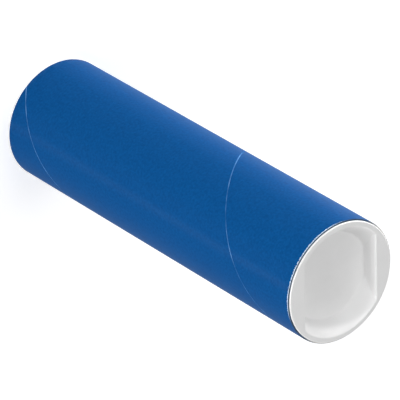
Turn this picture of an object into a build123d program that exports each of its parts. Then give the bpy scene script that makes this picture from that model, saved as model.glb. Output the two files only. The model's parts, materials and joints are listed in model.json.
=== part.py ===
from build123d import *
from math import hypot, pi, radians, tan
import os

# Mailing tube: a spiral-wound paperboard tube with a push-in plastic cap in each end.
# Millimetres, +Z up the tube's axis, origin at the middle of the bottom cap's outer face.
# The two straight walls of each cap's finger recess face along X.

# Paperboard tube
bore_diameter = 76.2  # a 3 inch mandrel
wall_thickness = 2.0
usable_length = 254.0  # clear room between the two caps, 10 inches
outer_ply = 0.2  # thickness of the coloured outer paper
seam_gap = 0.5  # between the wound paper's two edges
winding_angle = 38.5  # degrees between the paper's edge and the level
seam_foot_azimuth = -52.6  # degrees from +X, where the seam starts at the bottom edge

# End cap
flange_thickness = 1.3
flange_round = 0.6
rim_reveal = 1.0  # ring of the tube's cut end that shows around the flange
plug_length = 10.8  # from under the flange to the plug's end
plug_clearance = 0.06  # between the plug and the bore, all round
plug_lead_in = 0.8  # chamfer at the plug's end
upright_wall = 2.2  # skirt and the recess's walls
level_wall = 1.4  # floor and shelves
shelf_width = 8.4  # from the skirt to the straight wall, at the mouth and in the middle
straight_foot = 17.0  # length of each straight wall along the recess's floor
recess_corner = 2.5  # where a straight wall meets a curved one
mouth_round = 1.2
floor_round = 1.6
draft_angle = 2.0  # degrees, on the upright walls that the mould's cores leave

# Cutting tools reach this far past the face that they cut
overrun = 2.0

# Worked out from the sizes above
bore_radius = bore_diameter / 2
tube_radius = bore_radius + wall_thickness
tube_length = usable_length + 2 * plug_length
tube_foot = flange_thickness
overall_length = tube_length + 2 * flange_thickness
seam_pitch = 2 * pi * tube_radius * tan(radians(winding_angle))

flange_radius = tube_radius - rim_reveal
plug_radius = bore_radius - plug_clearance
cap_height = flange_thickness + plug_length
recess_radius = plug_radius - upright_wall
recess_width = 2 * (recess_radius - shelf_width)
hollow_depth = cap_height - level_wall
floor_radius = hypot(recess_width / 2 - hollow_depth * tan(radians(draft_angle)), straight_foot / 2)
curved_wall_slope = (recess_radius - floor_radius) / hollow_depth  # narrowing for each mm of depth


def seam_groove():
    """The gap left where one turn of the outer paper meets the next, as a helix up the tube."""
    path = Helix(pitch=seam_pitch, height=tube_length + 2 * overrun, radius=tube_radius)
    across = Plane(origin=path @ 0, x_dir=(1, 0, 0), z_dir=path % 0)
    section = across * Rectangle(2 * outer_ply, seam_gap)
    groove = sweep(section, path=path, is_frenet=True)
    start_azimuth = seam_foot_azimuth - 360 * overrun / seam_pitch
    return Pos(0, 0, tube_foot - overrun) * Rot(0, 0, start_azimuth) * groove


def paperboard_tube():
    """The wound wall, square-cut at both ends, with the seam of its outer paper."""
    standing = (Align.CENTER, Align.CENTER, Align.MIN)
    outside = Cylinder(tube_radius, tube_length, align=standing)
    bore = Pos(0, 0, -overrun) * Cylinder(bore_radius, tube_length + 2 * overrun, align=standing)
    return Pos(0, 0, tube_foot) * (outside - bore) - seam_groove()


def recess_form(growth, depth):
    """A cone cut off by two straight walls, hanging from zero and grown outwards by a thickness."""
    mouth_radius = recess_radius + growth * hypot(1, curved_wall_slope)
    foot_radius = mouth_radius - depth * curved_wall_slope
    hanging = (Align.CENTER, Align.CENTER, Align.MAX)
    cone = Cone(foot_radius, mouth_radius, depth, align=hanging)
    between_walls = Rectangle(recess_width + 2 * growth, 2 * mouth_radius)
    return cone & extrude(between_walls, amount=depth, dir=(0, 0, -1), taper=draft_angle)


def finger_recess():
    """The hollow that fingers reach into: two straight walls, two sloping curved ones and a level floor."""
    hollow = recess_form(0, hollow_depth)
    hollow = fillet(hollow.edges().group_by(Axis.Z)[1], recess_corner)
    return fillet(hollow.faces().sort_by(Axis.Z)[0].edges(), floor_round)


def underside_hollow():
    """The hollow between the skirt and the recess's walls, open to the inside of the tube."""
    inside_skirt = extrude(Circle(recess_radius), amount=hollow_depth, taper=draft_angle)
    return Pos(0, 0, -cap_height) * inside_skirt - recess_form(upright_wall, cap_height)


def end_cap():
    """One moulded cap, its outer face level at zero and its plug pointing down."""
    hanging = (Align.CENTER, Align.CENTER, Align.MAX)
    flange = Cylinder(flange_radius, flange_thickness, align=hanging)
    flange = fillet(flange.edges().group_by(Axis.Z)[-1], flange_round)
    plug = Cylinder(plug_radius, plug_length, align=hanging)
    plug = chamfer(plug.edges().group_by(Axis.Z)[0], plug_lead_in)
    cap = flange + Pos(0, 0, -flange_thickness) * plug
    cap = cap - finger_recess()
    mouth = cap.faces().sort_by(Axis.Z)[-1].inner_wires()[0].edges()
    cap = fillet(mouth, mouth_round)
    return cap - underside_hollow()


top_end_cap = Pos(0, 0, overall_length) * end_cap()
bottom_end_cap = Rot(180, 0, 0) * end_cap()

os.makedirs("parts", exist_ok=True)
export_step(paperboard_tube(), "parts/paperboard_tube.step")
export_step(top_end_cap, "parts/top_end_cap.step")
export_step(bottom_end_cap, "parts/bottom_end_cap.step")
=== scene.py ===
import json
import math

import bmesh
import bpy
from mathutils import Matrix, Vector


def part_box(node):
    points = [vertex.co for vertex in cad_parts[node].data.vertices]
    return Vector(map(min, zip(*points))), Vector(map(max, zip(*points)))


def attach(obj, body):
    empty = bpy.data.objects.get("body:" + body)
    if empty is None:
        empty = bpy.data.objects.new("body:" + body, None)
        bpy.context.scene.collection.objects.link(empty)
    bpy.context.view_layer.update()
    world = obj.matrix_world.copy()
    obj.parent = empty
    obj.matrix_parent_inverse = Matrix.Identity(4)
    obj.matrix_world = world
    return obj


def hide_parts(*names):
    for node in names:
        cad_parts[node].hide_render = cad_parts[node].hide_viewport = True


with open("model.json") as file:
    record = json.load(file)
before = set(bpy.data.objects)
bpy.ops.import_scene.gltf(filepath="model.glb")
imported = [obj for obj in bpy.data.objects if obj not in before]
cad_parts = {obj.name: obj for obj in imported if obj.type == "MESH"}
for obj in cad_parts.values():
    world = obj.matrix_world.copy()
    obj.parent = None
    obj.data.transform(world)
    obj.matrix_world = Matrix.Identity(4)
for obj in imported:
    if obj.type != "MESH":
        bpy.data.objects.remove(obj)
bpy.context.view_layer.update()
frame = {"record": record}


# Board wall: plies of grey-brown board wound on a mandrel and glued into one stiff tube, with brown
# kraft paper as its lining. A saw cuts both ends square, so the edges of the plies show there as fine
# rings. On one side the cut ends are painted dark bluish grey: painted shade for the shadow in the gap
# under the cap's flange.
tube_low, tube_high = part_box("paperboard_tube")
outer_wall = next(mount for mount in frame["record"]["mounts"] if mount["name"] == "outer_wall")
tube_radius = outer_wall["dims"]["r_mm"] / 1000
bore_radius = 0.0381
paper_thickness = 0.0002
ply_thickness = 0.00045
ply_groove_width = 0.00006
ply_groove_depth = 0.00008
fray_and_shade_azimuth = math.radians(-40)
# Where the painted shade on the cut ends begins and where it is full: dark bluish grey for the shadow under
# the cap's flange.
painted_shade_shares = (-0.2, 0.1)
wall_steps = 192
crease_angle = math.radians(30)
merge_reach = 0.000001
sawn_tilt = 0.1


def ring_of(outline, steps):
    """A mesh of one outline of (radius, height) points, spun once round the tube's axis."""
    bm = bmesh.new()
    corners = [bm.verts.new((radius, 0, height)) for radius, height in outline]
    for here, there in zip(corners, corners[1:]):
        bm.edges.new((here, there))
    bmesh.ops.spin(bm, geom=bm.verts[:] + bm.edges[:], cent=(0, 0, 0), axis=(0, 0, 1),
                   angle=math.tau, steps=steps, use_merge=True)
    return bm


def piece_of(bm, name, materials):
    """The finished mesh as an object at the origin, smooth but for its creases and finish lines."""
    for face in bm.faces:
        face.smooth = True
    for edge in bm.edges:
        finishes = {face.material_index for face in edge.link_faces}
        if len(finishes) > 1 or edge.calc_face_angle(0) > crease_angle:
            edge.smooth = False
    mesh = bpy.data.meshes.new(name)
    bm.to_mesh(mesh)
    bm.free()
    for material in materials:
        mesh.materials.append(material)
    piece = bpy.data.objects.new(name, mesh)
    bpy.context.collection.objects.link(piece)
    return piece


def linear(hex_colour):
    """An sRGB hex value as the linear colour that a shader takes."""
    channels = [int(hex_colour[i:i + 2], 16) / 255 for i in (1, 3, 5)]
    return (*[c / 12.92 if c <= 0.04045 else ((c + 0.055) / 1.055) ** 2.4 for c in channels], 1.0)


def add_node(tree, kind, settings=None, inputs=None):
    """One shader node with its settings and its inputs, each a value or another node's socket."""
    node = tree.nodes.new("ShaderNode" + kind)
    for key, value in (settings or {}).items():
        setattr(node, key, value)
    for key, value in (inputs or {}).items():
        if isinstance(value, bpy.types.NodeSocket):
            tree.links.new(value, node.inputs[key])
        else:
            node.inputs[key].default_value = value
    return node


def new_material(name):
    """An empty node material with its shader, and the place that its patterns read."""
    material = bpy.data.materials.new(name)
    material.use_nodes = True
    tree = material.node_tree
    shader = tree.nodes["Principled BSDF"]
    place = add_node(tree, "TexCoord").outputs["Object"]
    return material, tree, shader, place


def fray_and_shade_side(tree, place, shares):
    """One on the side of the fray and the painted shade, falling to none further round, between two shares
    of the radius.
    """
    fray_and_shade_way = (math.cos(fray_and_shade_azimuth), math.sin(fray_and_shade_azimuth), 0)
    towards_exit = add_node(tree, "VectorMath", {"operation": "DOT_PRODUCT"}, {0: place, 1: fray_and_shade_way})
    none_from, fully_from = [share * tube_radius for share in shares]
    return add_node(tree, "MapRange", {}, {
        "Value": towards_exit.outputs["Value"],
        "From Min": none_from, "From Max": fully_from}).outputs["Result"]


def sawn_chipboard():
    """Recycled grey board across its cut: dull, fuzzy and flecked, and pale but for painted shade on one
    side.
    """
    material, tree, shader, place = new_material("sawn_grey_chipboard")
    fleck_size = 0.0006
    fibre_size = 0.0002
    flecks = add_node(tree, "TexNoise", {}, {"Vector": place, "Scale": 1 / fleck_size, "Detail": 3.0})
    bare = add_node(tree, "Mix", {"data_type": "RGBA"}, {
        "Factor": flecks.outputs["Fac"], "A": linear("#BDB9B2"), "B": linear("#E2DFDA")})
    # Painted shade: dark bluish grey on one side, standing for the shadow under the cap's flange.
    shade_painted_board = add_node(tree, "Mix", {"data_type": "RGBA"}, {
        "Factor": flecks.outputs["Fac"], "A": linear("#1E344B"), "B": linear("#5B7088")})
    colours = add_node(tree, "Mix", {"data_type": "RGBA"}, {
        "Factor": fray_and_shade_side(tree, place, painted_shade_shares),
        "A": bare.outputs["Result"], "B": shade_painted_board.outputs["Result"]})
    tree.links.new(colours.outputs["Result"], shader.inputs["Base Color"])
    fibres = add_node(tree, "TexNoise", {}, {"Vector": place, "Scale": 1 / fibre_size, "Detail": 2.0})
    bump = add_node(tree, "Bump", {}, {
        "Height": fibres.outputs["Fac"], "Distance": 0.00008, "Strength": 0.6})
    tree.links.new(bump.outputs["Normal"], shader.inputs["Normal"])
    shader.inputs["Roughness"].default_value = 0.95
    shader.inputs["Specular IOR Level"].default_value = 0.2
    return material


def stained_paper():
    """Bare paper in the open seam, stained by the ink: pale in places, else as blue as the rest."""
    material, tree, shader, place = new_material("ink_stained_paper")
    patch_size = 0.012
    patches = add_node(tree, "TexNoise", {}, {"Vector": place, "Scale": 1 / patch_size, "Detail": 3.0})
    stain = add_node(tree, "MapRange", {}, {
        "Value": patches.outputs["Fac"], "From Min": 0.35, "From Max": 0.65})
    colours = add_node(tree, "Mix", {"data_type": "RGBA"}, {
        "Factor": stain.outputs["Result"], "A": linear("#115797"), "B": linear("#6C9FD3")})
    tree.links.new(colours.outputs["Result"], shader.inputs["Base Color"])
    shader.inputs["Roughness"].default_value = 0.8
    shader.inputs["Specular IOR Level"].default_value = 0.0
    return material


def kraft_lining():
    """Unbleached kraft paper: warm brown, matt, with long fibres that run round the winding."""
    material, tree, shader, place = new_material("brown_kraft_lining")
    fibre_length = 0.004
    fibre_width = 0.0005
    stretched = add_node(tree, "Mapping", {}, {
        "Vector": place, "Scale": (1 / fibre_length, 1 / fibre_length, 1 / fibre_width)})
    fibres = add_node(tree, "TexNoise", {}, {"Vector": stretched.outputs[0], "Scale": 1.0, "Detail": 3.0})
    colours = add_node(tree, "Mix", {"data_type": "RGBA"}, {
        "Factor": fibres.outputs["Fac"], "A": linear("#8A6A48"), "B": linear("#B79468")})
    tree.links.new(colours.outputs["Result"], shader.inputs["Base Color"])
    bump = add_node(tree, "Bump", {}, {
        "Height": fibres.outputs["Fac"], "Distance": 0.00005, "Strength": 0.5})
    tree.links.new(bump.outputs["Normal"], shader.inputs["Normal"])
    shader.inputs["Roughness"].default_value = 0.85
    shader.inputs["Specular IOR Level"].default_value = 0.3
    return material


paper_seat_radius = tube_radius - paper_thickness
ply_count = round((paper_seat_radius - bore_radius) / ply_thickness)
sawn_top = [(paper_seat_radius, tube_high.z)]
for ply in range(1, ply_count):
    ply_edge = paper_seat_radius - ply * ply_thickness
    sawn_top.append((ply_edge + ply_groove_width / 2, tube_high.z))
    sawn_top.append((ply_edge, tube_high.z - ply_groove_depth))
    sawn_top.append((ply_edge - ply_groove_width / 2, tube_high.z))
sawn_top.append((bore_radius, tube_high.z))
sawn_foot = [(radius, tube_low.z + tube_high.z - height) for radius, height in reversed(sawn_top)]
wall = ring_of(sawn_top + sawn_foot + sawn_top[:1], wall_steps)
bmesh.ops.remove_doubles(wall, verts=wall.verts[:], dist=merge_reach)
bmesh.ops.recalc_face_normals(wall, faces=wall.faces[:])
for face in wall.faces:
    outward = face.normal.dot(face.calc_center_median() * Vector((1, 1, 0)))
    if abs(face.normal.z) > sawn_tilt:
        face.material_index = 0
    elif outward > 0:
        face.material_index = 1
    else:
        face.material_index = 2
seam_paper = stained_paper()
board_wall = piece_of(wall, "board_wall", [sawn_chipboard(), seam_paper, kraft_lining()])
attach(board_wall, "tube")
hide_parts("paperboard_tube")


# Outer paper: a strip of coated blue paper as wide as one turn, wound round the wall at a slant and
# glued down, so that its two edges meet in one spiral seam with a hair's gap. The saw cuts it with the
# wall, and at the top it chips the blue coating off the white stock on the side that it comes out of.
winding_angle = math.radians(38.5)
seam_gap = 0.0005
seam_foot_azimuth = math.radians(-52.6)
frayed_shares = (0.5, 0.8)
cut_bevel = 0.00006
printed_facing = 0.99
bevel_facing = 0.1
strip_rows = 24
spare_turns = 0.1


def coated_blue_paper():
    """Clay-coated paper printed solid blue: a deep colour, faintly mottled, with a weak gloss that fine
    lines round the tube draw out into soft streaks along it."""
    material, tree, shader, place = new_material("coated_blue_paper")
    fray_width = 0.0008
    fray_grit = 0.0006
    # The ink's mottle and the paper's grain are really a few tenths of a millimetre: coarser here, to show
    mottle_size = 0.0016
    grain_size = 0.0009
    height = add_node(tree, "SeparateXYZ", {}, {"Vector": place}).outputs["Z"]
    from_cut = add_node(tree, "Math", {"operation": "SUBTRACT"}, {0: tube_high.z, 1: height})
    grit = add_node(tree, "TexNoise", {}, {"Vector": place, "Scale": 1 / fray_grit, "Detail": 3.0})
    reach = add_node(tree, "MapRange", {}, {
        "Value": grit.outputs["Fac"], "From Min": 0.35, "From Max": 0.65,
        "To Min": 0.0, "To Max": fray_width})
    chipped = add_node(tree, "Math", {"operation": "MULTIPLY"}, {
        0: reach.outputs["Result"], 1: fray_and_shade_side(tree, place, frayed_shares)})
    frayed = add_node(tree, "Math", {"operation": "LESS_THAN"}, {
        0: from_cut.outputs[0], 1: chipped.outputs[0]})
    mottle = add_node(tree, "TexNoise", {}, {"Vector": place, "Scale": 1 / mottle_size, "Detail": 2.0})
    blues = add_node(tree, "Mix", {"data_type": "RGBA"}, {
        "Factor": mottle.outputs["Fac"], "A": linear("#003C76"), "B": linear("#0B5796")})
    colours = add_node(tree, "Mix", {"data_type": "RGBA"}, {
        "Factor": frayed.outputs[0], "A": blues.outputs["Result"], "B": linear("#CFE6FA")})
    tree.links.new(colours.outputs["Result"], shader.inputs["Base Color"])
    grain = add_node(tree, "TexNoise", {}, {"Vector": place, "Scale": 1 / grain_size, "Detail": 2.0})
    bump = add_node(tree, "Bump", {}, {
        "Height": grain.outputs["Fac"], "Distance": 0.00002, "Strength": 0.35})
    tree.links.new(bump.outputs["Normal"], shader.inputs["Normal"])
    round_tube = add_node(tree, "Tangent", {"direction_type": "RADIAL", "axis": "Z"})
    tree.links.new(round_tube.outputs["Tangent"], shader.inputs["Tangent"])
    shader.inputs["Roughness"].default_value = 0.4
    shader.inputs["Specular IOR Level"].default_value = 0.034
    shader.inputs["Anisotropic"].default_value = 1.0
    shader.inputs["Anisotropic Rotation"].default_value = 0.25
    return material


def white_paper_stock():
    """The same paper across its thickness: white fibre where it frays, painted dark beside that as painted
    shade for the shadow under the cap's flange, else pale.
    """
    material, tree, shader, place = new_material("white_paper_stock")
    fibre_size = 0.0003
    fibres = add_node(tree, "TexNoise", {}, {"Vector": place, "Scale": 1 / fibre_size, "Detail": 2.0})
    whites = add_node(tree, "Mix", {"data_type": "RGBA"}, {
        "Factor": fibres.outputs["Fac"], "A": linear("#A9C8E6"), "B": linear("#F2F8FD")})
    # Painted shade: the cut edge is darkened on one side, standing for the shadow under the cap's flange.
    shade_painted_edge = add_node(tree, "Mix", {"data_type": "RGBA"}, {
        "Factor": fray_and_shade_side(tree, place, painted_shade_shares),
        "A": linear("#CBD4DD"), "B": linear("#2C4F7C")})
    colours = add_node(tree, "Mix", {"data_type": "RGBA"}, {
        "Factor": fray_and_shade_side(tree, place, frayed_shares),
        "A": shade_painted_edge.outputs["Result"], "B": whites.outputs["Result"]})
    tree.links.new(colours.outputs["Result"], shader.inputs["Base Color"])
    shader.inputs["Roughness"].default_value = 0.9
    return material


pitch = math.tau * tube_radius * math.tan(winding_angle)
gap_height = seam_gap / math.cos(winding_angle)
strip_low = tube_low.z - pitch * (1 + spare_turns) + gap_height / 2
turns = (tube_high.z - tube_low.z) / pitch + 1 + 2 * spare_turns
strip_steps = math.ceil(turns * wall_steps)
strip = bmesh.new()
edge_corners = [strip.verts.new((tube_radius, 0, strip_low + height))
                for height in (0, pitch - gap_height)]
strip.edges.new(edge_corners)
bmesh.ops.subdivide_edges(strip, edges=strip.edges[:], cuts=strip_rows - 1)
bmesh.ops.rotate(strip, verts=strip.verts[:], cent=(0, 0, 0),
                 matrix=Matrix.Rotation(seam_foot_azimuth - math.tau * (1 + spare_turns), 3, "Z"))
bmesh.ops.spin(strip, geom=strip.verts[:] + strip.edges[:], cent=(0, 0, 0), axis=(0, 0, 1),
               dvec=(0, 0, pitch / wall_steps), angle=math.tau / wall_steps * strip_steps,
               steps=strip_steps)
for cut_height, away in ((tube_low.z, -1), (tube_high.z, 1)):
    bmesh.ops.bisect_plane(strip, geom=strip.verts[:] + strip.edges[:] + strip.faces[:],
                           plane_co=(0, 0, cut_height), plane_no=(0, 0, away), clear_outer=True)
bmesh.ops.remove_doubles(strip, verts=strip.verts[:], dist=merge_reach)
bmesh.ops.recalc_face_normals(strip, faces=strip.faces[:])
bmesh.ops.solidify(strip, geom=strip.faces[:], thickness=paper_thickness)
outer_edges = [edge for edge in strip.edges
               if edge.calc_face_angle(0) > crease_angle
               and min(vert.co.xy.length for vert in edge.verts) > tube_radius - paper_thickness / 2]
bmesh.ops.bevel(strip, geom=outer_edges, offset=cut_bevel, affect="EDGES", segments=2, profile=0.5,
                material=-1)
for face in strip.faces:
    middle = face.calc_center_median()
    outward = face.normal.dot(middle.xy.to_3d().normalized())
    at_foot = middle.z < tube_low.z + cut_bevel
    if outward > printed_facing or (at_foot and outward > bevel_facing):
        face.material_index = 0
    elif at_foot or middle.z > tube_high.z - cut_bevel:
        face.material_index = 1
    else:
        face.material_index = 2
blue_paper = piece_of(strip, "blue_paper", [coated_blue_paper(), white_paper_stock(), seam_paper])
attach(blue_paper, "tube")
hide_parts("paperboard_tube")


# End caps: soft white polyethylene, injection moulded in one piece. The plug is pushed into the bore
# up to its flange and grips by friction. Fingers reach into the recess, which has two straight walls
# and two sloping curved ones, and the moulding is hollow behind them, so that its walls stay thin.
cap_low, cap_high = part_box("top_end_cap")
cap_height = cap_high.z - cap_low.z
flange_radius = cap_high.x
flange_thickness = cap_high.z - tube_high.z
flange_round = 0.0006
flange_foot_round = 0.00045
plug_radius = 0.03804
plug_lead_in = 0.0008
upright_wall = 0.0022
level_wall = 0.0014
hollow_depth = cap_height - level_wall
recess_radius = plug_radius - upright_wall
shelf_width = 0.0084
straight_foot = 0.017
recess_half_width = recess_radius - shelf_width
recess_corner = 0.0025
mouth_round = 0.0012
floor_round = 0.0016
draft_angle = math.radians(2)
foot_half_width = recess_half_width - hollow_depth * math.tan(draft_angle)
floor_radius = math.hypot(foot_half_width, straight_foot / 2)
curved_wall_lean = math.atan((recess_radius - floor_radius) / hollow_depth)
face_margin = 0.0003
soft_edge = 0.00015
cap_steps = 192
arc_steps = 40
shelf_arc_steps = 16
round_steps = 8
wall_slices = 6


def white_polyethylene():
    """Moulded polyethylene: milky white, satin, a little waxy, with a faint spark-eroded grain."""
    material, tree, shader, place = new_material("moulded_white_polyethylene")
    flow_size = 0.012
    grain_size = 0.0008
    flow = add_node(tree, "TexNoise", {}, {"Vector": place, "Scale": 1 / flow_size, "Detail": 3.0})
    whites = add_node(tree, "Mix", {"data_type": "RGBA"}, {
        "Factor": flow.outputs["Fac"], "A": linear("#F0F0F0"), "B": linear("#F7F7F7")})
    tree.links.new(whites.outputs["Result"], shader.inputs["Base Color"])
    satin = add_node(tree, "MapRange", {}, {
        "Value": flow.outputs["Fac"], "From Min": 0.3, "From Max": 0.7, "To Min": 0.4, "To Max": 0.5})
    tree.links.new(satin.outputs["Result"], shader.inputs["Roughness"])
    grain = add_node(tree, "TexNoise", {}, {"Vector": place, "Scale": 1 / grain_size, "Detail": 2.0})
    bump = add_node(tree, "Bump", {}, {
        "Height": grain.outputs["Fac"], "Distance": 0.00002, "Strength": 0.4})
    tree.links.new(bump.outputs["Normal"], shader.inputs["Normal"])
    shader.inputs["IOR"].default_value = 1.51
    shader.inputs["Specular IOR Level"].default_value = 0.35
    return material


def narrowing(depth, lean):
    """How far a leaning wall of the recess has come in at a depth, from its rounded lip to its root."""
    turn = math.pi / 2 - lean
    lip_end = mouth_round * (1 - math.cos(turn))
    root_start = hollow_depth - floor_round * (1 - math.cos(turn))
    if depth < lip_end:
        swing = math.acos(1 - depth / mouth_round)
        return lip_end * math.tan(lean) - mouth_round * (math.sin(turn) - math.sin(swing))
    if depth > root_start:
        swing = math.acos(max(1 - (hollow_depth - depth) / floor_round, 0))
        return root_start * math.tan(lean) + floor_round * (math.sin(turn) - math.sin(swing))
    return depth * math.tan(lean)


def arc_from(bm, vert, centre, angle, steps):
    """An arc of edges that starts at a vertex, and the vertex that it ends on."""
    made = bmesh.ops.spin(bm, geom=[vert], cent=centre, axis=(0, 0, 1), angle=angle, steps=steps)
    return next(item for item in made["geom_last"] if isinstance(item, bmesh.types.BMVert))


def level_chain(bm, depth, start, straight_to, turns):
    """A chain of edges at a depth: from its start straight to a corner, and on by arcs about centres."""
    kept = set(bm.edges)
    last = bm.verts.new((*start, -depth))
    if straight_to:
        corner = bm.verts.new((*straight_to, -depth))
        bm.edges.new((last, corner))
        last = corner
    for centre, angle, steps in turns:
        last = arc_from(bm, last, (*centre, 0), angle, steps)
    return [edge for edge in bm.edges if edge not in kept]


def bridge_down(bm, slices):
    """Faces between each level chain and the next."""
    for here, there in zip(slices, slices[1:]):
        bmesh.ops.bridge_loops(bm, edges=here + there)


def recess_slice(bm, depth):
    """A quarter of the recess at a depth: half a straight wall, a rounded corner and half an arc."""
    straight_in = narrowing(depth, draft_angle)
    line = recess_half_width - straight_in
    radius = recess_radius - narrowing(depth, curved_wall_lean)
    corner = recess_corner - straight_in
    corner_x = line - corner
    corner_y = math.sqrt((radius - corner) ** 2 - corner_x ** 2)
    turn = math.atan2(corner_y, corner_x)
    return level_chain(bm, depth, (line, 0), (line, corner_y), [
        ((corner_x, corner_y), turn, round_steps), ((0, 0), math.pi / 2 - turn, arc_steps)])


def press_recess(bm):
    """A quarter of the finger recess, from its rounded mouth to the edge of its floor."""
    swings = [math.pi / 2 * step / round_steps for step in range(round_steps + 1)]
    depths = [mouth_round * (1 - math.cos(swing)) for swing in swings]
    root_top = hollow_depth - floor_round
    wall_run = root_top - mouth_round
    depths += [mouth_round + wall_run * step / wall_slices for step in range(1, wall_slices)]
    depths += [hollow_depth - floor_round * (1 - math.cos(swing)) for swing in reversed(swings)]
    bridge_down(bm, [recess_slice(bm, depth) for depth in depths])


def press_underside(bm):
    """A quarter of the hollow behind the recess's walls: a groove at the arc, a pocket at the shelf."""
    def wall_line(depth):
        return recess_half_width + upright_wall - depth * math.tan(draft_angle)

    def skirt_radius(depth):
        return recess_radius - (cap_height - depth) * math.tan(draft_angle)

    def curved_wall_radius(depth):
        return (recess_radius + upright_wall / math.cos(curved_wall_lean)
                - depth * math.tan(curved_wall_lean))

    spare = curved_wall_radius(0) - skirt_radius(0)
    groove_top = spare / (math.tan(curved_wall_lean) + math.tan(draft_angle))
    groove_turn = math.acos(wall_line(groove_top) / skirt_radius(groove_top))
    walls = []
    for step in range(wall_slices + 1):
        depth = cap_height + (groove_top - cap_height) * step / wall_slices
        turn = math.acos(wall_line(depth) / curved_wall_radius(depth))
        corner = (wall_line(depth), curved_wall_radius(depth) * math.sin(turn))
        walls.append(level_chain(bm, depth, (wall_line(depth), 0), corner, [
            ((0, 0), math.pi / 2 - turn, arc_steps)]))
    skirt = [level_chain(bm, depth, (skirt_radius(depth), 0), None, [
        ((0, 0), groove_turn, shelf_arc_steps), ((0, 0), math.pi / 2 - groove_turn, arc_steps)])
        for depth in (cap_height, groove_top)]
    pocket = []
    for depth in (groove_top, level_wall):
        turn = math.acos(wall_line(depth) / skirt_radius(depth))
        corner = (wall_line(depth), skirt_radius(depth) * math.sin(turn))
        pocket.append(level_chain(bm, depth, (wall_line(depth), 0), corner, [
            ((0, 0), -turn, shelf_arc_steps)]))
    for slices in (walls, skirt, pocket):
        bridge_down(bm, slices)


def end_cap_mesh():
    """One cap, its outer face level at zero and its plug pointing down."""
    cap = ring_of([
        (flange_radius - flange_round - face_margin, 0),
        (flange_radius, 0),
        (flange_radius, -flange_thickness),
        (plug_radius, -flange_thickness),
        (plug_radius, plug_lead_in - cap_height),
        (plug_radius - plug_lead_in, -cap_height),
        (plug_radius - plug_lead_in - face_margin, -cap_height)], cap_steps)
    rims = [edge for edge in cap.edges if edge.calc_face_angle(0) > crease_angle]
    flange_rim = [edge for edge in rims if edge.verts[0].co.z > -merge_reach]
    bmesh.ops.bevel(cap, geom=flange_rim, offset=flange_round, affect="EDGES", segments=round_steps,
                    profile=0.5, material=-1)
    rims = [edge for edge in cap.edges if edge.calc_face_angle(0) > crease_angle]
    flange_foot = [edge for edge in rims if edge.verts[0].co.xy.length > flange_radius - merge_reach]
    bmesh.ops.bevel(cap, geom=flange_foot, offset=flange_foot_round, affect="EDGES",
                    segments=round_steps, profile=0.5, material=-1)
    rims = [edge for edge in cap.edges if edge.calc_face_angle(0) > crease_angle]
    bmesh.ops.bevel(cap, geom=rims, offset=soft_edge, affect="EDGES", segments=2, profile=0.5,
                    material=-1)

    skin = set(cap.verts)
    press_recess(cap)
    press_underside(cap)
    for axis in "XY":
        quarter = [vert for vert in cap.verts if vert not in skin]
        quarter += [edge for edge in cap.edges if edge.verts[0] not in skin]
        quarter += [face for face in cap.faces if face.verts[0] not in skin]
        bmesh.ops.mirror(cap, geom=quarter, matrix=Matrix.Identity(4), merge_dist=merge_reach, axis=axis)
    bmesh.ops.remove_doubles(cap, verts=cap.verts[:], dist=merge_reach)
    for level, reach in ((hollow_depth, recess_radius), (level_wall, recess_radius),
                         (cap_height, recess_radius - upright_wall)):
        inner_rim = [edge for edge in cap.edges if len(edge.link_faces) == 1
                     and abs(edge.verts[0].co.z + level) < merge_reach
                     and edge.verts[0].co.xy.length < reach]
        bmesh.ops.edgeloop_fill(cap, edges=inner_rim)
    for level in (0, cap_height):
        rim = [edge for edge in cap.edges if len(edge.link_faces) == 1
               and abs(edge.verts[0].co.z + level) < merge_reach]
        bmesh.ops.triangle_fill(cap, edges=rim, use_beauty=True)
    bmesh.ops.recalc_face_normals(cap, faces=cap.faces[:])
    return cap


cap_plastic = white_polyethylene()
cap_places = {
    "top": Matrix.Translation((0, 0, cap_high.z)),
    "bottom": Matrix.Rotation(math.pi, 4, "X"),
}
for end, cap_place in cap_places.items():
    mesh = end_cap_mesh()
    bmesh.ops.transform(mesh, matrix=cap_place, verts=mesh.verts[:])
    cap = piece_of(mesh, end + "_cap", [cap_plastic])
    cap.modifiers.new("flat_faces_stay_flat", "WEIGHTED_NORMAL").keep_sharp = True
    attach(cap, end + "_cap")
    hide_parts(end + "_end_cap")


# Floor and surroundings: a wide pale matt floor that the tube stands on, in an open white studio.
# To the eye and in gloss both are plain white, and the floor still takes the tube's shadow. Far from
# the lamps the floor glows more, so that it meets the white surroundings with no line.
floor_half_size = 4.0
floor_drop = 0.0002
near_glow = 0.45
far_glow = 0.85
lamps_reach = (0.5, 2.0)
studio_level = 0.20


def seen_directly(tree):
    """One where the eye, a reflection or glass looks at the surface, and none where it gives light."""
    path = add_node(tree, "LightPath").outputs
    eye_or_gloss = add_node(tree, "Math", {"operation": "MAXIMUM"}, {
        0: path["Is Camera Ray"], 1: path["Is Glossy Ray"]})
    return add_node(tree, "Math", {"operation": "MAXIMUM"}, {
        0: eye_or_gloss.outputs[0], 1: path["Is Transmission Ray"]}).outputs[0]


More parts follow.
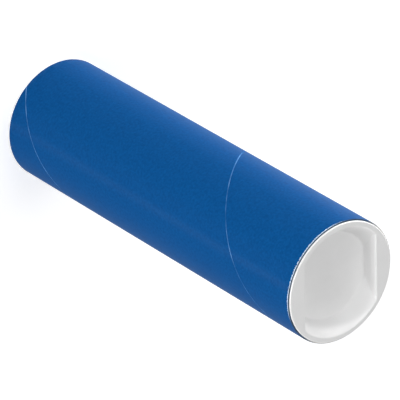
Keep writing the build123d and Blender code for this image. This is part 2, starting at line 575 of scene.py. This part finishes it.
floor_paint, tree, shader, place = new_material("pale_floor")
shader.inputs["Base Color"].default_value = linear("#F3F3F3")
shader.inputs["Roughness"].default_value = 1.0
shader.inputs["Specular IOR Level"].default_value = 0.0
shader.inputs["Emission Color"].default_value = linear("#FFFFFF")
far_off = add_node(tree, "VectorMath", {"operation": "LENGTH"}, {0: place}).outputs["Value"]
rising = add_node(tree, "MapRange", {}, {
    "Value": far_off, "From Min": lamps_reach[0], "From Max": lamps_reach[1],
    "To Min": near_glow, "To Max": far_glow})
glow = add_node(tree, "Math", {"operation": "MULTIPLY"}, {
    0: seen_directly(tree), 1: rising.outputs["Result"]})
tree.links.new(glow.outputs[0], shader.inputs["Emission Strength"])
sheet = bmesh.new()
bmesh.ops.create_grid(sheet, x_segments=8, y_segments=8, size=floor_half_size,
                      matrix=Matrix.Translation((0, 0, -floor_drop)))
floor = piece_of(sheet, "floor", [floor_paint])

world = bpy.data.worlds.new("white_studio")
world.use_nodes = True
bpy.context.scene.world = world
tree = world.node_tree
surroundings = tree.nodes["Background"]
surroundings.inputs["Color"].default_value = linear("#FFFFFF")
level = add_node(tree, "MapRange", {}, {
    "Value": seen_directly(tree), "To Min": studio_level, "To Max": 1.0})
tree.links.new(level.outputs["Result"], surroundings.inputs["Strength"])
bpy.context.scene.view_settings.view_transform = "Standard"


# Lamps and camera: a broad soft panel overhead, a long low strip behind at the left, and small low
# panels round the tube, whose gloss draws them out into pale streaks along the wall. The camera looks
# down on the standing tube from far off with a long lens, rolled over until the tube seems to lie.
lamp_distance = 2.0
aim_point = Vector((0, 0, 0.1446))
camera_azimuth = math.radians(47.30)
camera_elevation = math.radians(43.58)
camera_roll = math.radians(120.3)
camera_distance = 2.5146
sensor_width = 36.0
lens_length = 367.8


def looking_at(aim, azimuth, elevation, distance, roll=0.0):
    """The place of a lamp or camera that looks at a point from round about and above it."""
    return (Matrix.Translation(aim) @ Matrix.Rotation(azimuth, 4, "Z")
            @ Matrix.Rotation(math.pi / 2 - elevation, 4, "X") @ Matrix.Rotation(roll, 4, "Z")
            @ Matrix.Translation((0, 0, distance)))


def lamp(name, aside, elevation, size, brightness):
    """A soft oval panel that looks at the tube, set aside from the camera and up from the level by
    degrees, with the level of light that it gives where it points."""
    light = bpy.data.lights.new(name, "AREA")
    light.shape = "ELLIPSE"
    light.size, light.size_y = size
    light.energy = brightness * math.pi ** 2 * lamp_distance ** 2
    panel = bpy.data.objects.new(name, light)
    azimuth = camera_azimuth + math.radians(aside)
    panel.matrix_world = looking_at(aim_point, azimuth, math.radians(elevation), lamp_distance)
    panel.visible_camera = False
    bpy.context.collection.objects.link(panel)


lamp("overhead_panel", aside=0, elevation=88, size=(2.0, 2.0), brightness=0.37)
lamp("back_strip", aside=-112, elevation=1, size=(1.6, 0.25), brightness=1.00)
lamp("left_panel", aside=-79, elevation=8.7, size=(0.6, 0.15), brightness=0.30)
lamp("near_left_panel", aside=-45, elevation=25, size=(1.2, 1.2), brightness=0.17)
lamp("near_right_panel", aside=25, elevation=16, size=(0.5, 0.5), brightness=0.15)
lamp("right_panel", aside=48, elevation=5, size=(0.4, 0.4), brightness=0.50)
lamp("rear_panel", aside=155, elevation=8, size=(0.8, 0.8), brightness=0.20)

camera_data = bpy.data.cameras.new("camera")
camera_data.sensor_width = sensor_width
camera_data.lens = lens_length
camera = bpy.data.objects.new("camera", camera_data)
camera.matrix_world = looking_at(aim_point, camera_azimuth, camera_elevation, camera_distance,
                                 camera_roll)
bpy.context.collection.objects.link(camera)
bpy.context.scene.camera = camera
